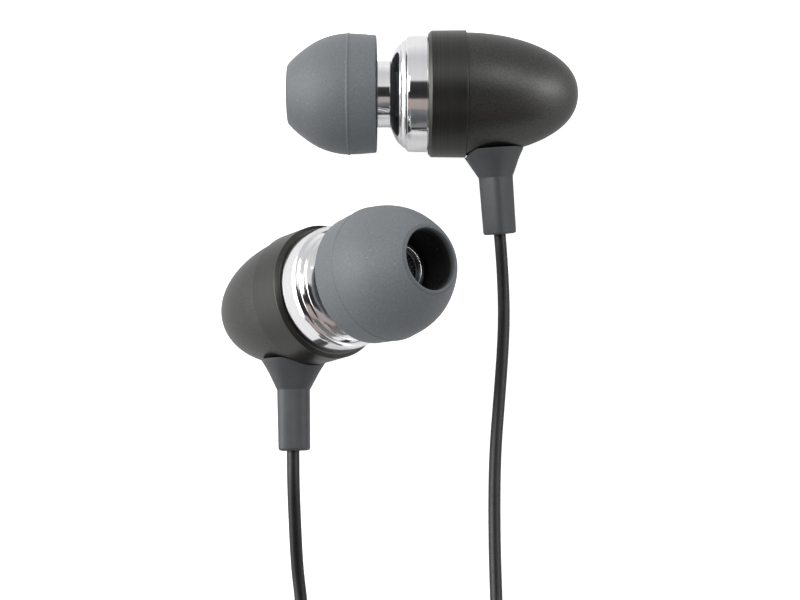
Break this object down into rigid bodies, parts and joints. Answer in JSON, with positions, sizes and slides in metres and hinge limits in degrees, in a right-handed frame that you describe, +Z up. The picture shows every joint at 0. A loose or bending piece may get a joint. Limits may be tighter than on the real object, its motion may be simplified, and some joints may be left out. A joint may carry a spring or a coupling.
{
  "type": "wired earphones",
  "caption": "In-ear earphones with bullet housings, pull-off ear tips, polished nozzles, coiled leads, cinch slider, Y splitter and straight stereo plug.",
  "frame": {"origin": "middle of the pair of earpieces, at the table top they lie on", "axes": "+Z up from the table; +Y away from the cable, across the side-lying earpiece, whose ear tip points along -X"},
  "size_m": [0.043, 0.1636, 0.0248],
  "materials": {
    "ear_tip_silicone": "matte",
    "polished_metal": "polished",
    "nozzle_mesh": "woven",
    "black_shell": "satin",
    "black_collar": "satin",
    "relief_rubber": "matte",
    "cord_jacket": "satin",
    "moulded_black": "satin",
    "contact_gilt": "plated",
    "insulator": "gloss",
    "driver_steel": "plain",
    "driver_film": "film",
    "coil_copper": "enamelled",
    "board": "plain",
    "foam": "open"
  },
  "bodies": {
    "earphones": {"left_front_housing": "polished_metal", "left_nozzle_mesh": "nozzle_mesh", "left_driver_seal": "foam", "left_driver_basket": "driver_steel", "left_diaphragm": "driver_film", "left_voice_coil": "coil_copper", "left_driver_yoke": "driver_steel", "left_driver_magnet": "driver_steel", "left_terminal_board": "board", "left_rear_damper": "foam", "left_collar": "black_collar", "left_rear_shell": "black_shell", "left_strain_relief": "relief_rubber", "left_cable_stop": "cord_jacket", "left_lead_run": "cord_jacket", "left_lead_coil": "cord_jacket", "left_lead_tail": "cord_jacket", "left_lead_tie": "relief_rubber", "right_front_housing": "polished_metal", "right_nozzle_mesh": "nozzle_mesh", "right_driver_seal": "foam", "right_driver_basket": "driver_steel", "right_diaphragm": "driver_film", "right_voice_coil": "coil_copper", "right_driver_yoke": "driver_steel", "right_driver_magnet": "driver_steel", "right_terminal_board": "board", "right_rear_damper": "foam", "right_collar": "black_collar", "right_rear_shell": "black_shell", "right_strain_relief": "relief_rubber", "right_cable_stop": "cord_jacket", "right_lead_run": "cord_jacket", "right_lead_coil": "cord_jacket", "right_lead_tail": "cord_jacket", "right_lead_tie": "relief_rubber", "main_cord_run": "cord_jacket", "main_cord_coil": "cord_jacket", "main_cord_tail": "cord_jacket", "main_cord_tie": "relief_rubber", "y_splitter": "moulded_black", "plug_boot": "relief_rubber", "plug_body": "moulded_black", "plug_sleeve": "contact_gilt", "plug_rear_insulator": "insulator", "plug_ring_contact": "contact_gilt", "plug_front_insulator": "insulator", "plug_tip_contact": "contact_gilt"},
    "left_tip": {"left_ear_tip": "ear_tip_silicone"},
    "right_tip": {"right_ear_tip": "ear_tip_silicone"},
    "slider": {"cinch_slider": "moulded_black"}
  },
  "joints": [
    {"name": "left_tip_pull", "type": "slide", "parent": "earphones", "child": "left_tip", "axis": [0.6435, 0.0222, 0.7651], "range_m": [0, 0.007]},
    {"name": "right_tip_pull", "type": "slide", "parent": "earphones", "child": "right_tip", "axis": [-1, 0, 0], "range_m": [0, 0.007]},
    {"name": "slider_slide", "type": "slide", "parent": "earphones", "child": "slider", "axis": [0, 1, 0], "range_m": [0, 0.012]}
  ]
}
